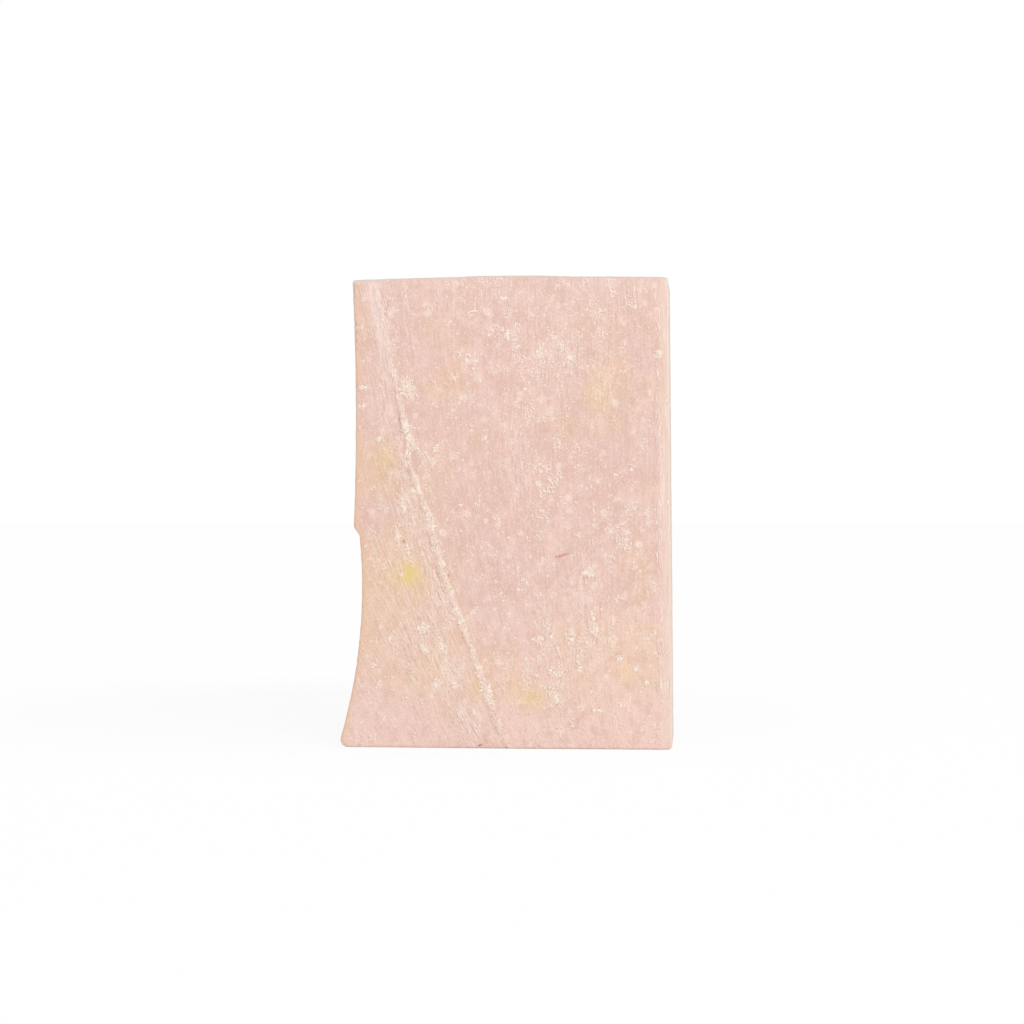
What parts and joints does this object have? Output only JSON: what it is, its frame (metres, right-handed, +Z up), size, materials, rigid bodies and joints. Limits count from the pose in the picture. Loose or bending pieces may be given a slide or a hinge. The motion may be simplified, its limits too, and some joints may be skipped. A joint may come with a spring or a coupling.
{
  "type": "bar of soap",
  "caption": "Hand-cut bar of pale peach soap standing on one short side, with a flared foot, a scraped front, a slanting crumbly burr and pale specks",
  "frame": {"origin": "middle of the bar's bounding box at the floor, on the flat short side that it stands on", "axes": "+Z up, along the bar's length. The cut front with the burr faces -Y. The straight side is at +X and the side with the foot and the step is at -X."},
  "size_m": [0.06, 0.025, 0.085],
  "materials": {
    "soap": "satin"
  },
  "bodies": {
    "root": {"soap_bar": "soap"}
  },
  "joints": []
}
